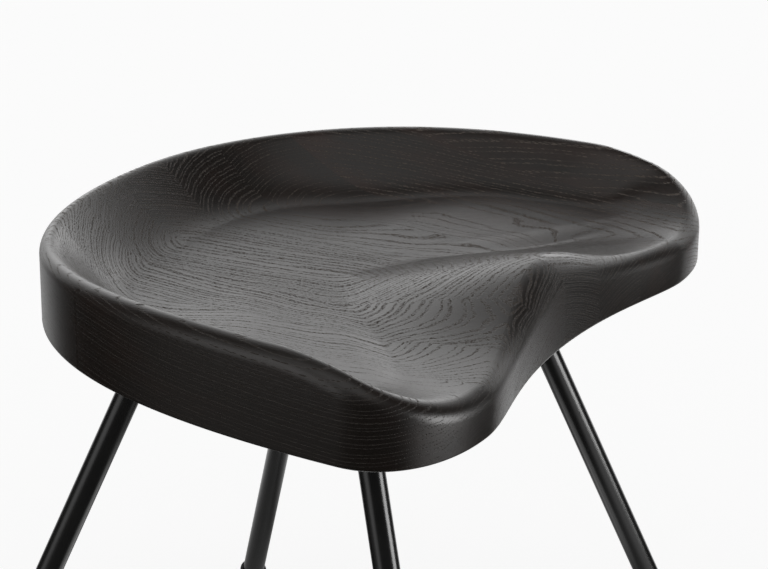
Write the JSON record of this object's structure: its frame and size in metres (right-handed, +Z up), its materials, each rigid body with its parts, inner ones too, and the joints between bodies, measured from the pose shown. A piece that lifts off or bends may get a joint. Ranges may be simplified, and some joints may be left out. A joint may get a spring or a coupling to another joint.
{
  "type": "low stool",
  "caption": "Low stool with a sculpted, dished saddle seat in black-stained oak staves, on splayed round steel tube legs with foot glides, screwed on through a steel plate.",
  "frame": {"origin": "on the floor, under the middle of the seat", "axes": "+Z up, -Y towards the notched front of the seat, +X towards the sitter's left when seated facing -Y"},
  "size_m": [0.48, 0.458, 0.4565],
  "materials": {
    "stained_oak": "black stain under satin lacquer",
    "black_steel": "satin black coat",
    "glide_plastic": "matt black",
    "screw_steel": "blackened",
    "insert_brass": "plain"
  },
  "bodies": {
    "root": {"seat_stave_1": "stained_oak", "seat_stave_2": "stained_oak", "seat_stave_3": "stained_oak", "seat_stave_4": "stained_oak", "seat_stave_5": "stained_oak", "seat_stave_6": "stained_oak", "seat_stave_7": "stained_oak", "seat_stave_8": "stained_oak", "seat_stave_9": "stained_oak", "seat_stave_10": "stained_oak", "mounting_plate": "black_steel", "leg_front_left": "black_steel", "leg_front_right": "black_steel", "leg_back_left": "black_steel", "leg_back_right": "black_steel", "glide_front_left": "glide_plastic", "glide_front_right": "glide_plastic", "glide_back_left": "glide_plastic", "glide_back_right": "glide_plastic", "plate_screw_1": "screw_steel", "plate_screw_2": "screw_steel", "plate_screw_3": "screw_steel", "plate_screw_4": "screw_steel", "plate_screw_5": "screw_steel", "plate_screw_6": "screw_steel", "plate_screw_7": "screw_steel", "plate_screw_8": "screw_steel", "threaded_insert_1": "insert_brass", "threaded_insert_2": "insert_brass", "threaded_insert_3": "insert_brass", "threaded_insert_4": "insert_brass", "threaded_insert_5": "insert_brass", "threaded_insert_6": "insert_brass", "threaded_insert_7": "insert_brass", "threaded_insert_8": "insert_brass"}
  },
  "joints": []
}
